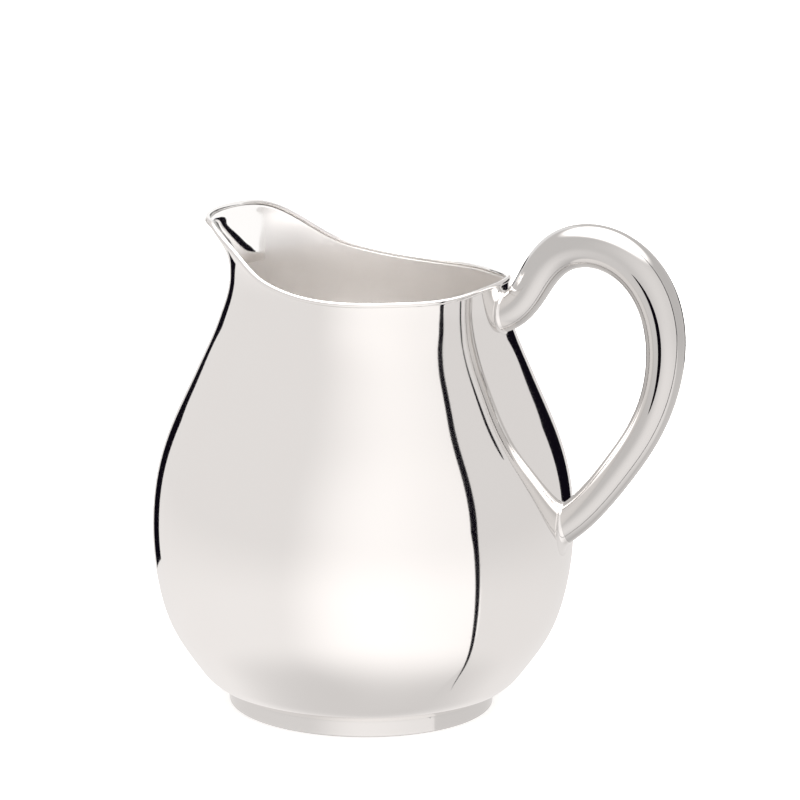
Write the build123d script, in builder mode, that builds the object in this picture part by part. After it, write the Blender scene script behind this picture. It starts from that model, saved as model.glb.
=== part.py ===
from build123d import *
import math
import os

os.makedirs("parts", exist_ok=True)

# Silver cream jug, millimetres. Origin: centre of the plane the foot rests on,
# +Z up, handle toward +X, pouring lip toward -X, symmetric about the XZ plane.

# ---- driving dimensions -------------------------------------------------
sheet = 0.8                   # thickness of the raised body sheet
foot_height = 3.0             # table to the underside of the body
foot_radius = 24.4            # outside of the foot ring
foot_wall = 1.6               # radial thickness of the foot ring
foot_edge_round = 0.35        # rounded edge the jug rests on
foot_bend_radius = 24.6       # where the flat base turns up into the belly
bend_pull = 0.125             # inward shift of that bend on the inside, per sheet

# outside of the body: (radius, height), foot line to above the lip
outline = (
    (foot_bend_radius, foot_height), (27.0, 4.25), (30.3, 7.4), (34.65, 13.9),
    (37.3, 21.4), (38.5, 29.4), (38.55, 36.8), (37.5, 44.4), (35.1, 52.0),
    (32.0, 59.0), (29.3, 65.0), (27.1, 70.2), (25.85, 74.5), (25.4, 78.0),
    (25.35, 80.5), (25.65, 83.0), (26.65, 85.5), (27.9, 87.7), (28.75, 88.95),
    (29.75, 89.75), (32.9, 92.3),
)
# top edge of the sheet seen from the side: (x, height), handle to lip
mouth_edge = (
    (45.0, 81.3), (33.0, 80.8), (26.2, 79.95), (22.5, 78.95), (15.0, 78.5), (6.0, 78.4),
    (-2.2, 78.85), (-8.7, 80.05), (-13.6, 81.8), (-18.2, 84.8), (-22.2, 87.5),
    (-25.4, 89.15), (-28.9, 89.6), (-34.0, 89.7), (-45.0, 89.75),
)
wire_radius = 0.5             # radius of the wire along the mouth
wire_seat = 0.3               # centre of the wire above the sheet edge
wire_out = 0.1                # centre of the wire outside the middle of the sheet
wire_knots = 28               # spans of the wire curve on each side

handle_wall = 0.8             # thickness of the hollow handle shells
handle_flat = 0.95            # across / in-plane width of the handle
# centreline of the handle, neck to belly: (x, height, in-plane width)
handle_path = (
    (23.4, 74.0, 7.2), (27.4, 75.3, 6.8), (30.6, 78.5, 6.5), (33.0, 82.6, 6.9),
    (36.8, 86.6, 7.5), (42.5, 88.0, 7.8), (48.6, 86.1, 7.8), (53.4, 81.3, 7.7),
    (55.9, 75.1, 7.4), (56.4, 68.4, 6.9), (55.3, 61.6, 6.4), (52.6, 54.8, 6.2),
    (48.9, 48.8, 6.2), (44.8, 43.2, 6.2), (40.4, 38.5, 6.5), (35.6, 34.9, 7.0),
)
end_spans = 5                 # path points at each end, from the body to clear of it
solder_size = 0.55            # size of the solder fillets round the handle ends
foot_solder_size = 0.6        # size of the solder fillet inside the foot


# ---- shape rules ----------------------------------------------------------
def inset_outline(inset):
    """The body outline moved inward, square to the wall; the floor stays flat."""
    points = [(foot_bend_radius - inset * bend_pull, foot_height + inset)]
    for before, (r, z), after in zip(outline, outline[1:], outline[2:] + outline[-1:]):
        length = math.dist(before, after)
        lean = (after[0] - before[0]) / length
        rise = (after[1] - before[1]) / length
        points.append((r - inset * rise, z + inset * lean))
    return points


def filled_body(inset):
    """The whole body as one turned solid, from the foot line to above the lip."""
    points = inset_outline(inset)
    top = points[-1]
    bottom = points[0]
    with BuildPart() as turned:
        with BuildSketch(Plane.XZ):
            with BuildLine():
                Spline(*points)
                Polyline(top, (0, top[1]), (0, bottom[1]), bottom)
            make_face()
        revolve(axis=Axis.Z)
    return turned.part


def handle_tube(extra, path):
    """The handle as a solid of oval sections, each grown by extra."""
    with BuildPart() as solid:
        for i, (x, z, width) in enumerate(path):
            x0, z0, _ = path[max(i - 1, 0)]
            x1, z1, _ = path[min(i + 1, len(path) - 1)]
            along = Vector(x1 - x0, 0, z1 - z0)
            with BuildSketch(Plane(origin=(x, 0, z), x_dir=(0, 1, 0), z_dir=along)):
                Ellipse(width * handle_flat / 2 + extra, width / 2 + extra)
        loft()
    return solid.part


def below_mouth():
    """Everything below the sheet edge, as one block for trimming."""
    start = mouth_edge[0]
    end = mouth_edge[-1]
    with BuildPart() as block:
        with BuildSketch(Plane.XZ):
            with BuildLine():
                Spline(*mouth_edge)
                Polyline(end, (end[0], 0), (start[0], 0), start)
            make_face()
        extrude(amount=start[0], both=True)
    return block.part


def solder_collar(path):
    """A narrow collar round one end of the handle, against the body."""
    grown_tube = handle_tube(solder_size, path)
    with BuildPart() as collar:
        add(grown_tube)
        add(grown_body, mode=Mode.INTERSECT)
        add(tube, mode=Mode.SUBTRACT)
        add(outside, mode=Mode.SUBTRACT)
    return collar.part


outside = filled_body(0.0)
inside = filled_body(sheet)
grown_body = filled_body(-solder_size)
trim = below_mouth()
tube = handle_tube(0.0, handle_path)
bore = handle_tube(-handle_wall, handle_path)

# ---- body: one raised sheet, from the foot line to the mouth edge ---------------
with BuildPart() as body_shell:
    add(outside)
    add(trim, mode=Mode.INTERSECT)
    add(inside, mode=Mode.SUBTRACT)
body_shell.part.label = "body_shell"
export_step(body_shell.part, "parts/body_shell.step")

# ---- mouth wire: rounded wire soldered on the sheet edge ------------------------
with BuildPart() as wire_bed:
    add(filled_body(sheet / 2 - wire_out))
    add(trim, mode=Mode.INTERSECT)
rim_half = wire_bed.edges().filter_by(lambda edge: edge.center().Y > sheet).sort_by(Axis.Z)[-1]
rim_spots = [i / wire_knots for i in range(wire_knots + 1)]
with BuildPart() as mouth_wire:
    for spot in rim_spots:
        middle = (rim_half @ spot) + Vector(0, 0, wire_seat)
        with BuildSketch(Plane(origin=middle, x_dir=(0, 0, 1), z_dir=rim_half % spot)):
            Circle(wire_radius)
    loft(ruled=True)
    mirror(about=Plane.XZ)
    add(trim, mode=Mode.SUBTRACT)
mouth_wire.part.label = "mouth_wire"
export_step(mouth_wire.part, "parts/mouth_wire.step")

# ---- foot ring: plain upright band soldered under the body ----------------------
with BuildPart() as foot_ring:
    with BuildSketch(Plane.XZ) as band:
        with Locations((foot_radius - foot_wall / 2, foot_height / 2)):
            Rectangle(foot_wall, foot_height)
        fillet(band.vertices().group_by(Axis.Z)[0], foot_edge_round)
    revolve(axis=Axis.Z)
foot_ring.part.label = "foot_ring"
export_step(foot_ring.part, "parts/foot_ring.step")

# ---- solder fillet in the inner corner of the foot ------------------------------
corner = (foot_radius - foot_wall, foot_height)
with BuildPart() as foot_solder:
    with BuildSketch(Plane.XZ):
        with BuildLine():
            Line(corner, (corner[0], corner[1] - foot_solder_size))
            RadiusArc(
                (corner[0], corner[1] - foot_solder_size),
                (corner[0] - foot_solder_size, corner[1]),
                foot_solder_size,
            )
            Line((corner[0] - foot_solder_size, corner[1]), corner)
        make_face()
    revolve(axis=Axis.Z)
foot_solder.part.label = "foot_solder"
export_step(foot_solder.part, "parts/foot_solder.step")

# ---- handle: two hollow halves joined on the plane of symmetry ------------------
with BuildPart() as hollow_handle:
    add(tube)
    add(outside, mode=Mode.SUBTRACT)
    add(bore, mode=Mode.SUBTRACT)

with BuildPart() as handle_left_half:
    add(hollow_handle.part)
    split(bisect_by=Plane.XZ, keep=Keep.TOP)
handle_left_half.part.label = "handle_left_half"
export_step(handle_left_half.part, "parts/handle_left_half.step")

with BuildPart() as handle_right_half:
    add(hollow_handle.part)
    split(bisect_by=Plane.XZ, keep=Keep.BOTTOM)
handle_right_half.part.label = "handle_right_half"
export_step(handle_right_half.part, "parts/handle_right_half.step")

# ---- solder collars where the handle meets neck and belly -----------------------
with BuildPart() as upper_solder:
    add(solder_collar(handle_path[:end_spans]))
upper_solder.part.label = "upper_handle_solder"
export_step(upper_solder.part, "parts/upper_handle_solder.step")

with BuildPart() as lower_solder:
    add(solder_collar(handle_path[-end_spans:]))
lower_solder.part.label = "lower_handle_solder"
export_step(lower_solder.part, "parts/lower_handle_solder.step")
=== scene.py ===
import math

import bmesh
import bpy
import numpy as np
from bpy.props import FloatProperty, FloatVectorProperty, IntProperty, PointerProperty
from mathutils import Matrix, Vector


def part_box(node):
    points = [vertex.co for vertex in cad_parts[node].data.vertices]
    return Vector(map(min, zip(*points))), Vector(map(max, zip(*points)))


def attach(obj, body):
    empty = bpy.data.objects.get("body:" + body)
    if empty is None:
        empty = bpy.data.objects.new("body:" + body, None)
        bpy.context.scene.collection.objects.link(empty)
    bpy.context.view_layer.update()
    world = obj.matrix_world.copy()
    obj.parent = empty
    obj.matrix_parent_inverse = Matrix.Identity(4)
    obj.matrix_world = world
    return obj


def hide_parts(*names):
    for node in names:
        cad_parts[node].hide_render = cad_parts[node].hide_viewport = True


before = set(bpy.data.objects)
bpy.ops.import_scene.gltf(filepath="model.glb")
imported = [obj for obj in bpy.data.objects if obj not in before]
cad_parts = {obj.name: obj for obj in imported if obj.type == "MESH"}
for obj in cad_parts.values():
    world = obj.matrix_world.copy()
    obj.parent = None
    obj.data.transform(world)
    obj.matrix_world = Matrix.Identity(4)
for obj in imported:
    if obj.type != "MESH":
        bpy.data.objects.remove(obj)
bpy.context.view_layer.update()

bl_info = {
    "name": "Silver Cream Jug",
    "version": (1, 0, 0),
    "blender": (4, 5, 0),
    "location": "3D View > Sidebar > Cream Jug",
    "description": "Raises a polished silver cream jug on its packed frame",
    "category": "Add Mesh",
}

BODY_LOW, BODY_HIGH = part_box("body_shell")
WIRE_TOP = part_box("mouth_wire")[1].z
FOOT_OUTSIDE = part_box("foot_ring")[1].x
FOOT_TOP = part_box("foot_ring")[1].z
MM = 0.001

FOOT_LINE = BODY_LOW.z              # underside of the body
LIP_TOP = BODY_HIGH.z               # highest point of the sheet, at the lip
SHEET = 0.8 * MM                    # thickness of the raised sheet

# Outside of the body, foot line to above the lip: (radius, height) in mm.
OUTLINE = (
    (24.6, 3.0), (27.0, 4.25), (30.3, 7.4), (34.65, 13.9), (37.3, 21.4), (38.5, 29.4),
    (38.55, 36.8), (37.5, 44.4), (35.1, 52.0), (32.0, 59.0), (29.3, 65.0), (27.1, 70.2),
    (25.85, 74.5), (25.4, 78.0), (25.35, 80.5), (25.65, 83.0), (26.65, 85.5), (27.9, 87.7),
    (28.75, 88.95), (29.75, 89.75), (32.9, 92.3),
)
# Sheet edge seen from the side, lip to handle: (x, height) in mm.
MOUTH_EDGE = (
    (-45.0, 89.75), (-34.0, 89.7), (-28.9, 89.6), (-25.4, 89.15), (-22.2, 87.5),
    (-18.2, 84.8), (-13.6, 81.8), (-8.7, 80.05), (-2.2, 78.85), (6.0, 78.4),
    (15.0, 78.5), (22.5, 78.95), (26.2, 79.95), (33.0, 80.8), (45.0, 81.3),
)
MOUTH_DRIFT = 0.65 * MM             # how far the mouth sits toward the handle
# Centreline of the handle, neck to belly: (x, height, in-plane width) in mm.
HANDLE_PATH = (
    (23.4, 74.0, 7.2), (27.4, 75.3, 6.8), (30.6, 78.5, 6.5), (33.0, 82.6, 6.9),
    (36.8, 86.6, 7.5), (42.5, 88.0, 7.8), (48.6, 86.1, 7.8), (53.4, 81.3, 7.7),
    (55.9, 75.1, 7.4), (56.4, 68.4, 6.9), (55.3, 61.6, 6.4), (52.6, 54.8, 6.2),
    (48.9, 48.8, 6.2), (44.8, 43.2, 6.2), (40.4, 38.5, 6.5), (35.6, 34.9, 7.0),
)
HANDLE_ROUNDNESS = 0.95             # across / in-plane width of the handle
SATIN_MARK = "satin"                # mesh attribute, 1 where the inside was left satin

MOUTH_STEPS = 60                    # rounds of the search for the mouth's edge
HALVINGS = 50                       # and of the search for the handle's ends
WALL_SPLIT = 0.70                   # share of the height above which the rings follow the mouth
FLOOR_BEND_HEIGHT = 2.2 * MM        # bend between the inside floor and the wall
FLOOR_BEND_REACH = 3.0 * MM
RING_CROWDING = 1.35                # above 1, rings of faces crowd toward the foot
BODY_SEGMENTS = 256                 # faces round the body, the foot and its solder
WIRE_SEGMENTS = 420                 # faces along the mouth wire
WIRE_SIDES = 36                     # faces round the section of the wire
HANDLE_SEGMENTS = 360               # faces along the handle
HANDLE_SIDES = 72                   # faces round the section of the handle

FOOT_WALL = 1.6 * MM                # radial thickness of the foot ring
FOOT_TOP_ROUND = 0.12 * MM          # softened upper edge of the ring
FOOT_SOLDER = 0.6 * MM              # size of the solder fillet inside the foot
SOLDER_OVERLAP = 0.05 * MM          # how far that solder runs into the ring and the body
SOLDER_BURIED = 0.15 * MM           # how far the handle's solder runs into the corner
SOLDER_SKIN = 0.01 * MM             # how far its two edges run under the silver
LOWER_RUN = 2.2                     # extra reach of the lower solder, under the handle
UPPER_END = 0.14                    # share of the handle's length searched for the neck
LOWER_END = 0.8                     # and where the search for the belly begins

# Painted shade: how much darker each part's copy of the body silver is made, standing in for the dimmer
# light it reflects.
WIRE_TONE = 0.94
FOOT_TONE = 0.80
HANDLE_TONE = 0.69
SOLDER_TONE = 0.92


# ---- curve and mesh helpers -------------------------------------------------
class Curve:
    """Smooth curve through knots: second differences solved for a natural cubic."""

    def __init__(self, t, values):
        self.t = np.asarray(t, float)
        self.v = np.asarray(values, float)
        n = len(self.t)
        h = np.diff(self.t)
        system = np.eye(n)
        right = np.zeros_like(self.v)
        for i in range(1, n - 1):
            system[i, i - 1:i + 2] = (h[i - 1], 2 * (h[i - 1] + h[i]), h[i])
            rise = (self.v[i + 1] - self.v[i]) / h[i] - (self.v[i] - self.v[i - 1]) / h[i - 1]
            right[i] = 6 * rise
        self.m = np.linalg.solve(system, right)

    def __call__(self, x, slope=False):
        x = np.asarray(x, float)
        i = np.clip(np.searchsorted(self.t, x) - 1, 0, len(self.t) - 2)
        h = self.t[i + 1] - self.t[i]
        a = (self.t[i + 1] - x) / h
        b = (x - self.t[i]) / h
        if self.v.ndim > 1:
            h, a, b = h[..., None], a[..., None], b[..., None]
        v0, v1, m0, m1 = self.v[i], self.v[i + 1], self.m[i], self.m[i + 1]
        if slope:
            return (v1 - v0) / h + h / 6 * ((1 - 3 * a * a) * m0 - (1 - 3 * b * b) * m1)
        return a * v0 + b * v1 + h * h / 6 * ((a ** 3 - a) * m0 + (b ** 3 - b) * m1)


def ease(t):
    t = np.clip(t, 0.0, 1.0)
    return t * t * t * (10 - 15 * t + 6 * t * t)


def lift(fraction):
    """Height of a fraction of the way from the foot line to the lip."""
    return FOOT_LINE + fraction * (LIP_TOP - FOOT_LINE)


BODY_RADIUS = Curve([z * MM for _, z in OUTLINE], [r * MM for r, _ in OUTLINE])
MOUTH_HEIGHT = Curve([x * MM for x, _ in MOUTH_EDGE], [z * MM for _, z in MOUTH_EDGE])
DRIFT_START = lift(0.78)
DRIFT_FULL = lift(0.89)
DRIFT_END = lift(1.02)
DRIFT_LOST = 0.8                    # share of the drift that is gone at the lip
POLISH_START = lift(0.902)          # the inside is satin below this
POLISH_FADE = 2.5 * MM
LIP_START = -22.3 * MM              # the inside of the lip is polished beyond this x
LIP_SPREAD = 0.45                   # that line bends toward the lip by this, per distance aside
LIP_FADE = 5.0 * MM


def drift(z):
    """Sideways drift of the level circles of the neck, toward the handle."""
    rise = ease((z - DRIFT_START) / (DRIFT_FULL - DRIFT_START))
    fall = ease((z - DRIFT_FULL) / (DRIFT_END - DRIFT_FULL))
    return MOUTH_DRIFT * rise * (1 - DRIFT_LOST * fall)


def wall_radius(angle, z, inset=0.0):
    """Distance of the wall from the axis at an angle from the handle."""
    lean = BODY_RADIUS(z, slope=True)
    return BODY_RADIUS(z) + drift(z) * np.cos(angle) - inset * np.sqrt(1 + lean * lean)


def mouth_at(angle, inset=0.0):
    """Radius and height of the sheet edge at an angle from the handle."""
    z = np.full_like(np.asarray(angle, float), lift(0.9))
    for _ in range(MOUTH_STEPS):
        r = wall_radius(angle, z, inset)
        z = 0.5 * z + 0.5 * MOUTH_HEIGHT(r * np.cos(angle))
    return wall_radius(angle, z, inset), z


def grid_mesh(name, rows, close_columns=False, flip=False):
    """A smooth mesh from a grid of points, shape (rows, columns, 3)."""
    count, width, _ = rows.shape
    ids = np.arange(count * width).reshape(count, width)
    nxt = np.roll(ids, -1, axis=1)
    below = np.roll(ids, -1, axis=0)
    below_next = np.roll(nxt, -1, axis=0)
    quads = np.stack([ids, nxt, below_next, below], axis=-1)
    if not close_columns:
        quads = quads[:-1]
    quads = quads.reshape(-1, 4)
    if flip:
        quads = quads[:, ::-1]
    mesh = bpy.data.meshes.new(name)
    mesh.from_pydata(rows.reshape(-1, 3).tolist(), [], quads.tolist())
    mesh.polygons.foreach_set("use_smooth", [True] * len(mesh.polygons))
    mesh.update()
    return mesh


def add_piece(name, mesh, material, nodes):
    """Links a mesh as a piece that rides with the jug and stands for its nodes."""
    piece = bpy.data.objects.new(name, mesh)
    bpy.context.scene.collection.objects.link(piece)
    piece.data.materials.append(material)
    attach(piece, "root")
    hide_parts(*nodes)


def turned(name, profile, segments, flip=False):
    """A closed turned mesh from a closed loop of (radius, height) points."""
    angle = np.linspace(0, 2 * math.pi, segments, endpoint=False)
    profile = np.asarray(profile)
    rows = np.stack([
        profile[:, 0, None] * np.cos(angle),
        profile[:, 0, None] * np.sin(angle),
        np.repeat(profile[:, 1, None], segments, axis=1),
    ], axis=-1)
    return grid_mesh(name, rows, close_columns=True, flip=flip)


# ---- settings ---------------------------------------------------------------
class CreamJugSettings(bpy.types.PropertyGroup):
    sheet: FloatProperty(
        name="Sheet thickness", description="Thickness of the raised body sheet",
        default=SHEET, min=0.4 * MM, max=1.5 * MM, subtype="DISTANCE", unit="LENGTH")
    wire_width: FloatProperty(
        name="Wire width", description="Width of the mouth wire across the sheet edge",
        default=1.0 * MM, min=0.8 * MM, max=2.5 * MM, subtype="DISTANCE", unit="LENGTH")
    wire_height: FloatProperty(
        name="Wire height", description="Height of the mouth wire before it is seated",
        default=1.0 * MM, min=0.8 * MM, max=2.5 * MM, subtype="DISTANCE", unit="LENGTH")
    foot_round: FloatProperty(
        name="Foot edge", description="Rounding of the edge that the jug rests on",
        default=0.35 * MM, min=0.1 * MM, max=0.7 * MM, subtype="DISTANCE", unit="LENGTH")
    solder_size: FloatProperty(
        name="Solder fillet", description="Reach of the solder fillets at the handle",
        default=0.55 * MM, min=0.2 * MM, max=1.2 * MM, subtype="DISTANCE", unit="LENGTH")
    silver: FloatVectorProperty(
        name="Silver", description="Colour of the polished silver",
        default=(0.955, 0.947, 0.938), size=3, min=0.0, max=1.0, subtype="COLOR")
    silver_warm: FloatVectorProperty(
        name="Warm silver", description="Colour where the polish has a faint warm cast",
        default=(0.945, 0.930, 0.915), size=3, min=0.0, max=1.0, subtype="COLOR")
    polish: FloatProperty(
        name="Polish", description="Roughness of the freshly polished surface",
        default=0.035, min=0.0, max=0.5, subtype="FACTOR")
    satin: FloatProperty(
        name="Satin inside", description="Roughness of the pickled surface deep inside",
        default=0.42, min=0.0, max=1.0, subtype="FACTOR")
    scratch_depth: FloatProperty(
        name="Scratch depth", description="Depth of the hairline polishing scratches",
        default=0.0004 * MM, min=0.0, max=0.01 * MM, precision=7)
    rings: IntProperty(
        name="Rings", description="Rings of faces along the body wall",
        default=150, min=40, max=400)
    floor_colour: FloatVectorProperty(
        name="Floor", description="Colour of the pale studio floor",
        default=(0.93, 0.93, 0.925), size=3, min=0.0, max=1.0, subtype="COLOR")
    tent_light: FloatProperty(
        name="Tent light", description="Brightness of the light tent round the jug",
        default=0.79, min=0.0, max=3.0)


def settings():
    return bpy.context.scene.cream_jug


# ---- silver -----------------------------------------------------------------
def silver_material(name, lines_along, wear=0.5, tone=1.0):
    """Polished silver: cloudy polish, hairline scratches, a faint warm cast, and a factor that darkens
    the colour as painted shade.
    """
    found = bpy.data.materials.get(name)
    if found:
        return found
    choice = settings()
    material = bpy.data.materials.new(name)
    material.use_nodes = True
    tree = material.node_tree
    tree.nodes.clear()
    new = tree.nodes.new
    join = tree.links.new
    output = new("ShaderNodeOutputMaterial")
    metal = new("ShaderNodeBsdfPrincipled")
    join(metal.outputs["BSDF"], output.inputs["Surface"])
    metal.inputs["Metallic"].default_value = 1.0
    place = new("ShaderNodeTexCoord")

    # slow clouds: where the polishing mop dwelt, warmer and a little duller
    clouds = new("ShaderNodeTexNoise")
    clouds.inputs["Scale"].default_value = 45.0
    clouds.inputs["Detail"].default_value = 3.0
    clouds.inputs["Roughness"].default_value = 0.55
    join(place.outputs["Object"], clouds.inputs["Vector"])
    cast = new("ShaderNodeMix")
    cast.data_type = "RGBA"
    # painted shade: both silver colours are scaled down by the part's factor, 1 for the body
    cast.inputs["A"].default_value = (*(part * tone for part in choice.silver), 1.0)
    cast.inputs["B"].default_value = (*(part * tone for part in choice.silver_warm), 1.0)
    join(clouds.outputs["Fac"], cast.inputs["Factor"])
    join(cast.outputs["Result"], metal.inputs["Base Color"])

    # hairline scratches: noise drawn out along the polishing direction
    stretch = new("ShaderNodeMapping")
    stretch.inputs["Scale"].default_value = lines_along
    join(place.outputs["Object"], stretch.inputs["Vector"])
    hairlines = new("ShaderNodeTexNoise")
    hairlines.inputs["Scale"].default_value = 1.0
    hairlines.inputs["Detail"].default_value = 4.0
    hairlines.inputs["Roughness"].default_value = 0.6
    join(stretch.outputs["Vector"], hairlines.inputs["Vector"])

    # stray marks from handling and washing, thin and crossing
    marks = new("ShaderNodeTexVoronoi")
    marks.feature = "DISTANCE_TO_EDGE"
    marks.inputs["Scale"].default_value = 260.0
    join(place.outputs["Object"], marks.inputs["Vector"])
    thin = new("ShaderNodeMapRange")
    thin.inputs["From Min"].default_value = 0.0
    thin.inputs["From Max"].default_value = 0.02
    thin.inputs["To Min"].default_value = 1.0
    thin.inputs["To Max"].default_value = 0.0
    join(marks.outputs["Distance"], thin.inputs["Value"])

    # roughness: polish, plus clouds, hairlines and marks
    dull = new("ShaderNodeMapRange")
    dull.inputs["From Min"].default_value = 0.3
    dull.inputs["From Max"].default_value = 0.75
    dull.inputs["To Min"].default_value = choice.polish
    dull.inputs["To Max"].default_value = choice.polish + 0.05 * wear
    join(clouds.outputs["Fac"], dull.inputs["Value"])
    streak = new("ShaderNodeMath")
    streak.operation = "MULTIPLY_ADD"
    streak.inputs[1].default_value = 0.03 * wear
    join(hairlines.outputs["Fac"], streak.inputs[0])
    join(dull.outputs["Result"], streak.inputs[2])
    worn = new("ShaderNodeMath")
    worn.operation = "MULTIPLY_ADD"
    worn.inputs[1].default_value = 0.02 * wear
    join(thin.outputs["Result"], worn.inputs[0])
    join(streak.outputs["Value"], worn.inputs[2])
    inside = new("ShaderNodeAttribute")
    inside.attribute_name = SATIN_MARK
    satin = new("ShaderNodeMix")
    satin.inputs["B"].default_value = choice.satin
    join(inside.outputs["Fac"], satin.inputs["Factor"])
    join(worn.outputs["Value"], satin.inputs["A"])
    join(satin.outputs["Result"], metal.inputs["Roughness"])

    bump = new("ShaderNodeBump")
    bump.inputs["Strength"].default_value = 1.0
    bump.inputs["Distance"].default_value = choice.scratch_depth
    join(hairlines.outputs["Fac"], bump.inputs["Height"])
    join(bump.outputs["Normal"], metal.inputs["Normal"])
    return material


ROUND_LINES = (60.0, 60.0, 5200.0)      # polished on the wheel, level with the rim
LONG_LINES = (900.0, 5200.0, 900.0)     # polished along the loop of the handle


def solder_material():
    return silver_material("solder", ROUND_LINES, wear=1.6, tone=SOLDER_TONE)


# ---- body -------------------------------------------------------------------
def body_rows(angle, sheet, rings):
    """Rows of points from the middle of the base, up outside, down inside."""
    _, height_edge = mouth_at(angle)
    _, inner_height_edge = mouth_at(angle, sheet)
    shared = lift(WALL_SPLIT)
    rows = []

    def add_level(r, z):
        r = np.broadcast_to(r, angle.shape)
        z = np.broadcast_to(z, angle.shape)
        rows.append(np.stack([r * np.cos(angle), r * np.sin(angle), z], axis=-1))

    bend = BODY_RADIUS(FOOT_LINE)
    for part in np.linspace(0.0, 1.0, 12)[:-1]:
        add_level(bend * part, FOOT_LINE)
    belly_steps = FOOT_LINE + (shared - FOOT_LINE) * np.linspace(0.0, 1.0, rings) ** RING_CROWDING
    for z in belly_steps:
        add_level(BODY_RADIUS(z), z)
    for part in np.linspace(0.0, 1.0, rings // 2)[1:]:
        z = shared + (height_edge - shared) * part
        add_level(wall_radius(angle, z), z)
    for part in np.linspace(1.0, 0.0, rings // 2)[:-1]:
        z = shared + (inner_height_edge - shared) * part
        add_level(wall_radius(angle, z, sheet), z)
    floor = FOOT_LINE + sheet
    turn_height = floor + FLOOR_BEND_HEIGHT
    inner_parts = np.linspace(1.0, 0.0, rings // 2) ** RING_CROWDING
    for z in turn_height + (shared - turn_height) * inner_parts:
        add_level(wall_radius(angle * 0.0, z, sheet), z)
    # the floor turns up into the wall on a soft bend
    top = float(wall_radius(0.0, turn_height, sheet))
    lean = float(BODY_RADIUS(turn_height, slope=True))
    corner = top - lean * (turn_height - floor)
    flat = corner - FLOOR_BEND_REACH
    for part in np.linspace(0.0, 1.0, 14)[1:]:
        r = (1 - part) ** 2 * top + 2 * part * (1 - part) * corner + part ** 2 * flat
        z = (1 - part) ** 2 * turn_height + 2 * part * (1 - part) * floor + part ** 2 * floor
        add_level(r, z)
    for part in np.linspace(1.0, 0.0, 10)[1:]:
        add_level(flat * part, floor)
    return np.array(rows)


def merge_centres(mesh):
    """Joins the points that meet on the axis, in the base and in the floor."""
    work = bmesh.new()
    work.from_mesh(mesh)
    bmesh.ops.remove_doubles(work, verts=work.verts, dist=0.001 * MM)
    work.to_mesh(mesh)
    work.free()
    mesh.update()


def mark_satin(mesh, sheet):
    """Marks the inside as satin, except the pouring lip, which is polished."""
    spots = np.empty(len(mesh.vertices) * 3)
    mesh.vertices.foreach_get("co", spots)
    x, y, z = spots.reshape(-1, 3).T
    within = np.hypot(x, y) < wall_radius(np.arctan2(y, x), z, sheet / 2)
    within &= z > FOOT_LINE + sheet / 2
    deep = ease((POLISH_START - z) / POLISH_FADE)
    beside_lip = ease((x + LIP_SPREAD * np.abs(y) - LIP_START) / LIP_FADE)
    mark = mesh.attributes.new(SATIN_MARK, "FLOAT", "POINT")
    mark.data.foreach_set("value", np.where(within, np.maximum(deep, beside_lip), 0.0))


class MakeBody(bpy.types.Operator):
    """Raise the body of the jug from one sheet, with its pouring lip"""
    bl_idname = "cream_jug.body"
    bl_label = "Body"

    def execute(self, context):
        choice = settings()
        angle = np.linspace(0, 2 * math.pi, BODY_SEGMENTS, endpoint=False)
        mesh = grid_mesh("raised_body", body_rows(angle, choice.sheet, choice.rings))
        merge_centres(mesh)
        mark_satin(mesh, choice.sheet)
        add_piece("raised_body", mesh, silver_material("body silver", ROUND_LINES),
                  ["body_shell"])
        return {"FINISHED"}


# ---- mouth wire -------------------------------------------------------------
class MakeWire(bpy.types.Operator):
    """Bend the rounded wire along the mouth and over the lip"""
    bl_idname = "cream_jug.wire"
    bl_label = "Mouth wire"

    def execute(self, context):
        choice = settings()
        angle = np.linspace(0, 2 * math.pi, WIRE_SEGMENTS, endpoint=False)
        radius, height = mouth_at(angle, choice.sheet / 2)
        seat = WIRE_TOP - LIP_TOP - choice.wire_height / 2
        middle = np.stack([radius * np.cos(angle), radius * np.sin(angle), height], axis=-1)
        along = np.roll(middle, -1, axis=0) - np.roll(middle, 1, axis=0)
        along /= np.linalg.norm(along, axis=1, keepdims=True)
        outward = np.cross(along, (0.0, 0.0, 1.0))
        outward /= np.linalg.norm(outward, axis=1, keepdims=True)
        upward = np.cross(outward, along)
        middle = middle + outward * (choice.wire_width / 2 - choice.sheet / 2) + upward * seat
        turn = np.linspace(0, 2 * math.pi, WIRE_SIDES, endpoint=False)
        across = choice.wire_width / 2 * np.cos(turn)
        rise = np.maximum(choice.wire_height / 2 * np.sin(turn), -seat)
        rows = (middle[:, None] + outward[:, None] * across[:, None]
                + upward[:, None] * rise[:, None])
        mesh = grid_mesh("mouth_bead", rows, close_columns=True, flip=True)
        silver = silver_material("wire silver", LONG_LINES, tone=WIRE_TONE)
        add_piece("mouth_bead", mesh, silver, ["mouth_wire"])
        return {"FINISHED"}


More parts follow.
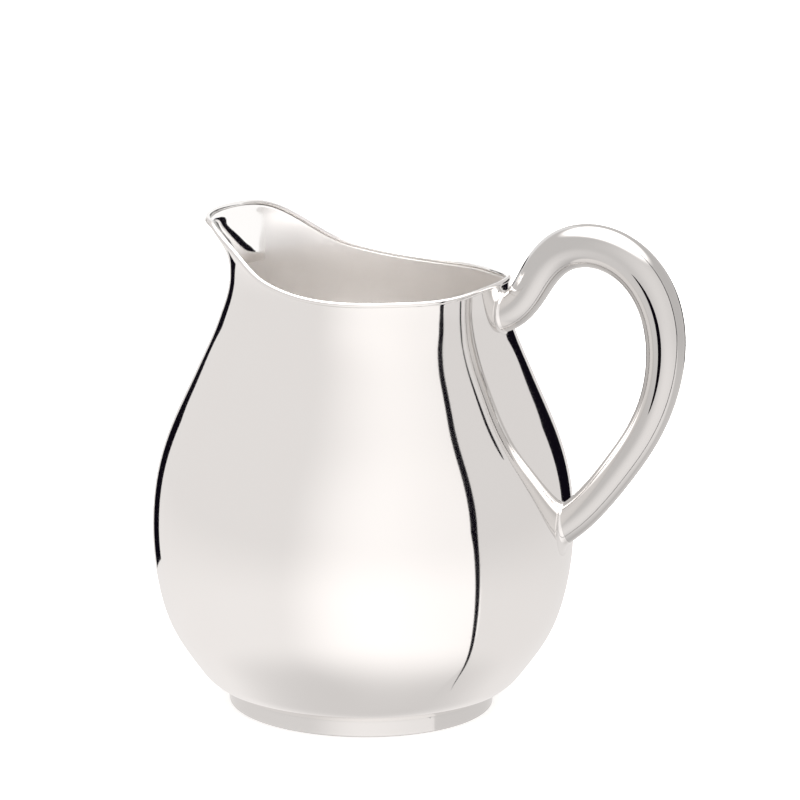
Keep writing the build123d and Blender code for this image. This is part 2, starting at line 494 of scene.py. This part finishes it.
# ---- foot -------------------------------------------------------------------
class MakeFoot(bpy.types.Operator):
    """Turn the plain foot ring and run the solder inside it"""
    bl_idname = "cream_jug.foot"
    bl_label = "Foot ring"

    def execute(self, context):
        inside = FOOT_OUTSIDE - FOOT_WALL
        edge = settings().foot_round
        soft = FOOT_TOP_ROUND
        arc = np.linspace(0.0, math.pi / 2, 10)
        profile = [(inside, z) for z in np.linspace(edge, FOOT_TOP, 6)]
        profile += [(r, FOOT_TOP) for r in np.linspace(inside, FOOT_OUTSIDE - soft, 6)[1:]]
        profile += [(FOOT_OUTSIDE - soft * (1 - math.sin(a)), FOOT_TOP - soft * (1 - math.cos(a)))
                    for a in arc[1:]]
        profile += [(FOOT_OUTSIDE, z) for z in np.linspace(FOOT_TOP - soft, edge, 8)[1:]]
        profile += [(FOOT_OUTSIDE - edge * (1 - math.cos(a)), edge * (1 - math.sin(a)))
                    for a in arc[1:]]
        profile += [(inside + edge * (1 - math.cos(a)), edge * (1 - math.sin(a)))
                    for a in arc[::-1][:-1]]
        silver = silver_material("foot silver", ROUND_LINES, wear=1.0, tone=FOOT_TONE)
        add_piece("foot_band", turned("foot_band", profile, BODY_SEGMENTS), silver,
                  ["foot_ring"])
        hidden = SOLDER_OVERLAP
        fillet = [(inside + hidden, FOOT_TOP + hidden), (inside + hidden, FOOT_TOP - FOOT_SOLDER)]
        fillet += [(inside - FOOT_SOLDER * (1 - math.cos(a)), FOOT_TOP - FOOT_SOLDER * (1 - math.sin(a)))
                   for a in arc]
        fillet += [(inside - FOOT_SOLDER, FOOT_TOP + hidden)]
        mesh = turned("foot_solder_run", fillet, BODY_SEGMENTS, flip=True)
        add_piece("foot_solder_run", mesh, solder_material(), ["foot_solder"])
        return {"FINISHED"}


# ---- handle -----------------------------------------------------------------
class Loop:
    """The handle's oval tube, as a formula of the way along and the turn round."""

    def __init__(self):
        knots = np.array(HANDLE_PATH) * MM
        steps = np.linalg.norm(np.diff(knots[:, :2], axis=0), axis=1)
        self.along = np.concatenate([[0.0], np.cumsum(steps)])
        self.curve = Curve(self.along, knots)
        self.length = self.along[-1]

    def point(self, s, turn):
        x, z, width = np.moveaxis(self.curve(s), -1, 0)
        dx, dz, _ = np.moveaxis(self.curve(s, slope=True), -1, 0)
        size = np.hypot(dx, dz)
        in_plane = width / 2 * np.cos(turn)
        across = width / 2 * HANDLE_ROUNDNESS * np.sin(turn)
        return np.stack([x + in_plane * dz / size, across, z - in_plane * dx / size], axis=-1)

    def meets_body(self, turn, start, end):
        """Way along at which each generator line crosses the body's outside."""
        low = np.full_like(turn, start)
        high = np.full_like(turn, end)
        for _ in range(HALVINGS):
            half = (low + high) / 2
            inside = outside_gap(self.point(half, turn)) < 0
            low = np.where(inside, half, low)
            high = np.where(inside, high, half)
        return (low + high) / 2


def outside_gap(p):
    """Distance of points from the body's outside, square to the axis."""
    angle = np.arctan2(p[..., 1], p[..., 0])
    return np.hypot(p[..., 0], p[..., 1]) - wall_radius(angle, p[..., 2])


def wall_normal(p):
    step = 0.01 * MM
    shifts = np.eye(3) * step
    slope = np.stack([outside_gap(p + d) - outside_gap(p - d) for d in shifts], axis=-1)
    return slope / np.linalg.norm(slope, axis=-1, keepdims=True)


def solder_fillet(loop, turn, crossing, away, reach):
    """Closed ring of solder between the handle's end and the body."""
    foot = loop.point(crossing, turn)
    up_tube = loop.point(crossing + away * reach, turn)
    wall = wall_normal(foot)
    step = 0.01 * MM
    tube_side = np.cross(loop.point(crossing, turn + 0.01) - foot,
                         loop.point(crossing + step, turn) - foot)
    tube_side /= np.linalg.norm(tube_side, axis=1, keepdims=True)
    centre = loop.point(crossing, turn * 0.0) / 2 + loop.point(crossing, turn * 0.0 + math.pi) / 2
    tube_side *= np.sign(np.sum(tube_side * (foot - centre), axis=1, keepdims=True))
    outward = tube_side - wall * np.sum(tube_side * wall, axis=1, keepdims=True)
    outward /= np.linalg.norm(outward, axis=1, keepdims=True)
    on_wall = foot + outward * np.reshape(reach, (-1, 1))
    for _ in range(3):
        on_wall = on_wall - wall_normal(on_wall) * outside_gap(on_wall)[:, None]
    rows = [foot - (wall + tube_side) * SOLDER_BURIED]
    for part in np.linspace(0.0, 1.0, 14):
        rows.append((1 - part) ** 2 * up_tube + 2 * part * (1 - part) * foot
                    + part ** 2 * on_wall)
    rows[1] = rows[1] - tube_side * SOLDER_SKIN
    rows[-1] = rows[-1] - wall * SOLDER_SKIN
    return np.array(rows)


class MakeHandle(bpy.types.Operator):
    """Form the hollow loop handle and solder it to neck and belly"""
    bl_idname = "cream_jug.handle"
    bl_label = "Handle"

    def execute(self, context):
        choice = settings()
        loop = Loop()
        turn = np.linspace(0, 2 * math.pi, HANDLE_SIDES, endpoint=False)
        upper = loop.meets_body(turn, 0.0, loop.length * UPPER_END)
        lower = loop.meets_body(turn, loop.length, loop.length * LOWER_END)
        ways = np.linspace(0.0, 1.0, HANDLE_SEGMENTS)[:, None]
        rows = loop.point(upper + (lower - upper) * ways, turn[None, :] + ways * 0.0)
        mesh = grid_mesh("loop_handle", rows)
        silver = silver_material("handle silver", LONG_LINES, wear=0.7, tone=HANDLE_TONE)
        add_piece("loop_handle", mesh, silver,
                  ["handle_left_half", "handle_right_half"])
        size = choice.solder_size
        under = (1 - np.cos(turn)) / 2      # 1 on the outer side of the loop
        shapes = (("upper_solder_run", upper, 1.0, size * (1 + under), "upper_handle_solder"),
                  ("lower_solder_run", lower, -1.0, size * (1 + LOWER_RUN * under ** 2),
                   "lower_handle_solder"))
        for name, crossing, away, reach, node in shapes:
            mesh = grid_mesh(name, solder_fillet(loop, turn, crossing, away, reach),
                             close_columns=True, flip=away > 0)
            add_piece(name, mesh, solder_material(), [node])
        return {"FINISHED"}


# ---- stage ------------------------------------------------------------------
CAMERA_TURN = math.radians(20.0)     # camera's turn from square-on, handle nearer
CAMERA_RISE = math.radians(12.15)
CAMERA_ROLL = math.radians(0.83)
CAMERA_DISTANCE = 644.4 * MM
CAMERA_LENS = 156.15
CAMERA_AIM = (7.2 * MM, 55.25 * MM)  # right of and above the origin
GAP_TURN = math.radians(-8.9)        # narrow dark gap between two tent panels
GAP_WIDTH = math.radians(4.2)
CARD_DISTANCE = 1.2                  # from the jug to the upright cards
HANDLE_EDGE = 0.95 * MM              # half width of the dark edge in front of the handle
HANDLE_EDGE_TURN = math.radians(-95.0)
HANDLE_EDGE_SPAN = (0.375, 0.66)     # stretch of the handle's length that has the edge
HANDLE_EDGE_AWAY = 4.0 * MM          # from the handle to the edge
HANDLE_EDGE_DROP = 0.9 * MM
EDGE_FACING = math.radians(-117.0)   # direction from the handle to the edge
TABLE_GAP_START = (28.0 * MM, -16.45 * MM)
# The gap over the table: (share of the way out, half width / way from the start).
TABLE_GAP_WIDTHS = ((0.02, 0.034), (0.08, 0.029), (0.25, 0.030), (1.0, 0.0366))
LIP_STRIP_BACK = 34.0 * MM           # the strip stands this far behind the axis
LIP_LIGHT_BACK = 38.0 * MM           # and the bright card this far
# Middle line of the dark strip behind the lip: (x, height) in mm.
LIP_STRIP = ((-36.5, 93.5), (-27.0, 91.0), (-19.0, 92.0), (-7.0, 86.0), (4.5, 78.0))
LIP_STRIP_HALF = 3.8 * MM            # half its width
LIP_STRIP_TAPER = 0.6                # share of that width left at the two ends
LIP_STRIP_END = 0.2                  # share of the length that each end narrows over
# Corners of the bright card: (x, height) in mm.
LIP_LIGHT = ((-75.0, 70.0), (16.0, 78.0), (16.0, 140.0), (-75.0, 140.0))
# Upright cards: (direction, width, lowest slope, highest slope).
GAP_CARD = (GAP_TURN, GAP_WIDTH, 0.0, 3.0)
BACK_LEFT_CARD = (math.radians(137.5), math.radians(15.0), -0.277, 0.05)
BACK_RIGHT_CARD = (math.radians(77.5), math.radians(21.0), -0.19, 0.12)
BLACK = (0.004, 0.003, 0.006)
WHITE = (1.0, 0.99, 0.985)
WHITE_STRENGTH = 1.05
TENT_COLOUR = (1.0, 0.967, 0.95, 1.0)
PANEL_TURN = math.radians(-38.0)     # direction of the bright front panel
PANEL_LEAN = -0.30                   # how far the panel leans out over the table
PANEL_LIGHT = 0.26                   # what each part adds to the tent's light
GAP_LEAN = 0.35
TABLE_LEFT_LIGHT = 0.10
TABLE_FALL_LIGHT = -0.23
ROOF_LIGHT = 3.2
RIGHT_TURN = math.radians(30.0)
RIGHT_LIGHT = -0.07
PAPER = (1.0, 1.0, 0.985, 1.0)       # the plain background and the floor's own light
FLOOR_REACH = 8.0
FLOOR_GLOW = 0.5
LIGHT_BOUNCES = 24                   # light goes in and out of the jug many times


def heading(turn):
    return Vector((math.cos(turn), math.sin(turn), 0.0))


def add_camera():
    back = Vector((math.sin(CAMERA_TURN) * math.cos(CAMERA_RISE),
                   -math.cos(CAMERA_TURN) * math.cos(CAMERA_RISE), math.sin(CAMERA_RISE)))
    level = Vector((math.cos(CAMERA_TURN), math.sin(CAMERA_TURN), 0.0))
    plumb = back.cross(level)
    right = level * math.cos(CAMERA_ROLL) + plumb * math.sin(CAMERA_ROLL)
    up = plumb * math.cos(CAMERA_ROLL) - level * math.sin(CAMERA_ROLL)
    spot = right * CAMERA_AIM[0] + up * CAMERA_AIM[1] + back * CAMERA_DISTANCE
    lens = bpy.data.cameras.new("camera")
    lens.lens = CAMERA_LENS
    lens.sensor_width = 36.0
    lens.clip_start = 0.05
    lens.clip_end = 60.0
    camera = bpy.data.objects.new("camera", lens)
    bpy.context.scene.collection.objects.link(camera)
    matrix = Matrix((right, up, back)).transposed().to_4x4()
    matrix.translation = spot
    camera.matrix_world = matrix
    bpy.context.scene.camera = camera


def glow_material(name, colour, strength):
    material = bpy.data.materials.new(name)
    material.use_nodes = True
    tree = material.node_tree
    tree.nodes.clear()
    output = tree.nodes.new("ShaderNodeOutputMaterial")
    glow = tree.nodes.new("ShaderNodeEmission")
    glow.inputs["Color"].default_value = (*colour, 1.0)
    glow.inputs["Strength"].default_value = strength
    tree.links.new(glow.outputs["Emission"], output.inputs["Surface"])
    return material


def card_mesh(name, corners, faces, material):
    """A card that only shows in the silver, not to the camera."""
    mesh = bpy.data.meshes.new(name)
    mesh.from_pydata([tuple(c) for c in corners], [], faces)
    mesh.materials.append(material)
    card = bpy.data.objects.new(name, mesh)
    bpy.context.scene.collection.objects.link(card)
    card.visible_camera = False
    card.visible_diffuse = False
    card.visible_shadow = False


def strip_mesh(name, pairs, material):
    """A card that runs through pairs of points, one on each of its edges."""
    spots = [tuple(spot) for pair in pairs for spot in pair]
    faces = [(2 * i, 2 * i + 2, 2 * i + 3, 2 * i + 1) for i in range(len(pairs) - 1)]
    card_mesh(name, spots, faces, material)


def upright_card(name, turn, width, low, high, material):
    """An upright card seen from the jug between two turns and two slopes."""
    left = heading(turn - width / 2) * CARD_DISTANCE
    right = heading(turn + width / 2) * CARD_DISTANCE
    low_z = Vector((0, 0, CARD_DISTANCE * low))
    high_z = Vector((0, 0, CARD_DISTANCE * high))
    corners = (left + low_z, right + low_z, right + high_z, left + high_z)
    card_mesh(name, corners, [(0, 1, 2, 3)], material)


def table_gap_card(material):
    """The gap where it runs in over the table toward the jug, a narrow wedge."""
    start = Vector((*TABLE_GAP_START, 0.0))
    way = heading(GAP_TURN) * CARD_DISTANCE - start
    side = Vector((-way.y, way.x, 0.0)).normalized()
    spots = [tuple(start)]
    for part, spread in TABLE_GAP_WIDTHS:
        middle = start + way * part
        half = side * (spread * way.length * part)
        spots += [tuple(middle - half), tuple(middle + half)]
    faces = [(0, 1, 2)]
    faces += [(i, i + 2, i + 3, i + 1) for i in range(1, len(spots) - 3, 2)]
    card_mesh("table_gap_card", spots, faces, material)


def handle_gap_card(material):
    """A thin dark edge close in front of the outer bend of the handle."""
    loop = Loop()
    away = heading(EDGE_FACING) * HANDLE_EDGE_AWAY - Vector((0, 0, HANDLE_EDGE_DROP))
    level = heading(EDGE_FACING + math.pi / 2)
    first, last = HANDLE_EDGE_SPAN
    pairs = []
    for part in np.linspace(first, last, 30):
        middle = Vector(loop.point(part * loop.length, np.float64(HANDLE_EDGE_TURN))) + away
        half = HANDLE_EDGE * math.sin(math.pi * (part - first) / (last - first)) ** 0.5
        pairs.append((middle - level * half, middle + level * half))
    strip_mesh("handle_gap_card", pairs, material)


def lip_cards(black, white):
    """A bright card behind the mouth for the lip, with a dark strip along it."""
    corners = [(x * MM, LIP_LIGHT_BACK, z * MM) for x, z in LIP_LIGHT]
    card_mesh("lip_light", corners, [(0, 1, 2, 3)], white)
    knots = np.array(LIP_STRIP) * MM
    steps = np.linalg.norm(np.diff(knots, axis=0), axis=1)
    along = np.concatenate([[0.0], np.cumsum(steps)])
    middle_line = Curve(along, knots)
    pairs = []
    for part in np.linspace(0.0, 1.0, 25):
        x, z = middle_line(part * along[-1])
        dx, dz = middle_line(part * along[-1], slope=True)
        fullness = ease(min(part, 1 - part) / LIP_STRIP_END)
        half = LIP_STRIP_HALF * (LIP_STRIP_TAPER + (1 - LIP_STRIP_TAPER) * fullness)
        half /= math.hypot(dx, dz)
        pairs.append(((x + dz * half, LIP_STRIP_BACK, z - dx * half),
                      (x - dz * half, LIP_STRIP_BACK, z + dx * half)))
    strip_mesh("lip_strip", pairs, black)


def add_tent(brightness):
    """Soft light all round: a bright front panel, a pale table, a lit roof."""
    world = bpy.data.worlds.new("tent")
    bpy.context.scene.world = world
    world.use_nodes = True
    tree = world.node_tree
    tree.nodes.clear()
    new = tree.nodes.new
    join = tree.links.new

    def math_node(operation, a, b=None, c=None):
        node = new("ShaderNodeMath")
        node.operation = operation
        for i, value in enumerate((a, b, c)):
            if value is None:
                continue
            if isinstance(value, (int, float)):
                node.inputs[i].default_value = value
            else:
                join(value, node.inputs[i])
        return node.outputs["Value"]

    def fade(value, start, end, low, high):
        node = new("ShaderNodeMapRange")
        node.interpolation_type = "SMOOTHSTEP"
        node.inputs["From Min"].default_value = start
        node.inputs["From Max"].default_value = end
        node.inputs["To Min"].default_value = low
        node.inputs["To Max"].default_value = high
        join(value, node.inputs["Value"])
        return node.outputs["Result"]

    def facing(turn):
        node = new("ShaderNodeVectorMath")
        node.operation = "DOT_PRODUCT"
        node.inputs[1].default_value = tuple(heading(turn))
        join(place.outputs["Generated"], node.inputs[0])
        return node.outputs["Value"]

    place = new("ShaderNodeTexCoord")
    split = new("ShaderNodeSeparateXYZ")
    join(place.outputs["Generated"], split.inputs["Vector"])
    slope = split.outputs["Z"]
    downward = math_node("MINIMUM", slope, 0.0)
    lowered = math_node("MULTIPLY_ADD", downward, PANEL_LEAN, facing(PANEL_TURN))
    panel = fade(lowered, 0.25, 0.93, 0.0, 1.0)
    past_gap = math_node("MULTIPLY_ADD", downward, GAP_LEAN, facing(GAP_TURN + math.pi / 2))
    beyond_gap = fade(past_gap, -0.01, 0.01, 1.0, 0.0)
    panel = math_node("MULTIPLY", panel, beyond_gap)
    table_left = fade(slope, -0.05, -0.45, 0.0, TABLE_LEFT_LIGHT)
    table_fall = fade(slope, -0.64, -1.0, 0.0, TABLE_FALL_LIGHT)
    roof = fade(slope, 0.68, 0.95, 0.0, ROOF_LIGHT)
    right_dim = fade(facing(RIGHT_TURN), 0.0, 0.8, 0.0, RIGHT_LIGHT)
    total = math_node("MULTIPLY_ADD", panel, PANEL_LIGHT, brightness)
    for part in (table_left, table_fall, roof, right_dim):
        total = math_node("ADD", total, part)
    glow = new("ShaderNodeBackground")
    glow.inputs["Color"].default_value = TENT_COLOUR
    join(total, glow.inputs["Strength"])
    paper = new("ShaderNodeBackground")
    paper.inputs["Color"].default_value = PAPER
    paper.inputs["Strength"].default_value = 1.0
    seen = new("ShaderNodeLightPath")
    mix = new("ShaderNodeMixShader")
    join(seen.outputs["Is Camera Ray"], mix.inputs["Fac"])
    join(glow.outputs["Background"], mix.inputs[1])
    join(paper.outputs["Background"], mix.inputs[2])
    output = new("ShaderNodeOutputWorld")
    join(mix.outputs["Shader"], output.inputs["Surface"])


def add_floor(colour):
    mesh = bpy.data.meshes.new("floor")
    corners = [(x * FLOOR_REACH, y * FLOOR_REACH, 0) for x, y in ((-1, -1), (1, -1), (1, 1), (-1, 1))]
    mesh.from_pydata(corners, [], [(0, 1, 2, 3)])
    material = bpy.data.materials.new("pale floor")
    material.use_nodes = True
    shader = material.node_tree.nodes["Principled BSDF"]
    shader.inputs["Base Color"].default_value = (*colour, 1.0)
    shader.inputs["Roughness"].default_value = 1.0
    shader.inputs["Specular IOR Level"].default_value = 0.0
    shader.inputs["Emission Color"].default_value = PAPER
    shader.inputs["Emission Strength"].default_value = FLOOR_GLOW
    mesh.materials.append(material)
    floor = bpy.data.objects.new("floor", mesh)
    bpy.context.scene.collection.objects.link(floor)
    floor.location.z = -0.02 * MM
    floor.visible_glossy = False


class MakeStage(bpy.types.Operator):
    """Set up the camera, the light tent, the dark cards and the pale floor"""
    bl_idname = "cream_jug.stage"
    bl_label = "Stage"

    def execute(self, context):
        choice = settings()
        scene = bpy.context.scene
        scene.view_settings.view_transform = "Standard"
        scene.view_settings.look = "None"
        add_camera()
        add_tent(choice.tent_light)
        add_floor(choice.floor_colour)
        black = glow_material("black card", BLACK, 1.0)
        white = glow_material("white card", WHITE, WHITE_STRENGTH)
        upright_card("gap_card", *GAP_CARD, black)
        table_gap_card(black)
        upright_card("back_left_card", *BACK_LEFT_CARD, black)
        upright_card("back_right_card", *BACK_RIGHT_CARD, black)
        handle_gap_card(black)
        lip_cards(black, white)
        scene.cycles.max_bounces = LIGHT_BOUNCES
        scene.cycles.glossy_bounces = LIGHT_BOUNCES
        return {"FINISHED"}


# ---- panel and main ---------------------------------------------------------
PIECE_OPERATORS = (MakeBody, MakeWire, MakeFoot, MakeHandle)


class CreamJugPanel(bpy.types.Panel):
    """Lists the pieces of the jug and the stage"""
    bl_idname = "VIEW3D_PT_cream_jug"
    bl_label = "Silver Cream Jug"
    bl_space_type = "VIEW_3D"
    bl_region_type = "UI"
    bl_category = "Cream Jug"

    def draw(self, context):
        layout = self.layout
        for name in CreamJugSettings.__annotations__:
            layout.prop(context.scene.cream_jug, name)
        for operator in (*PIECE_OPERATORS, MakeStage):
            layout.operator(operator.bl_idname)


CLASSES = (CreamJugSettings, *PIECE_OPERATORS, MakeStage, CreamJugPanel)


def register():
    for entry in CLASSES:
        bpy.utils.register_class(entry)
    bpy.types.Scene.cream_jug = PointerProperty(type=CreamJugSettings)


def unregister():
    del bpy.types.Scene.cream_jug
    for entry in reversed(CLASSES):
        bpy.utils.unregister_class(entry)


def main():
    register()
    bpy.ops.cream_jug.body()
    bpy.ops.cream_jug.wire()
    bpy.ops.cream_jug.foot()
    bpy.ops.cream_jug.handle()
    bpy.ops.cream_jug.stage()


if __name__ == "__main__":
    main()
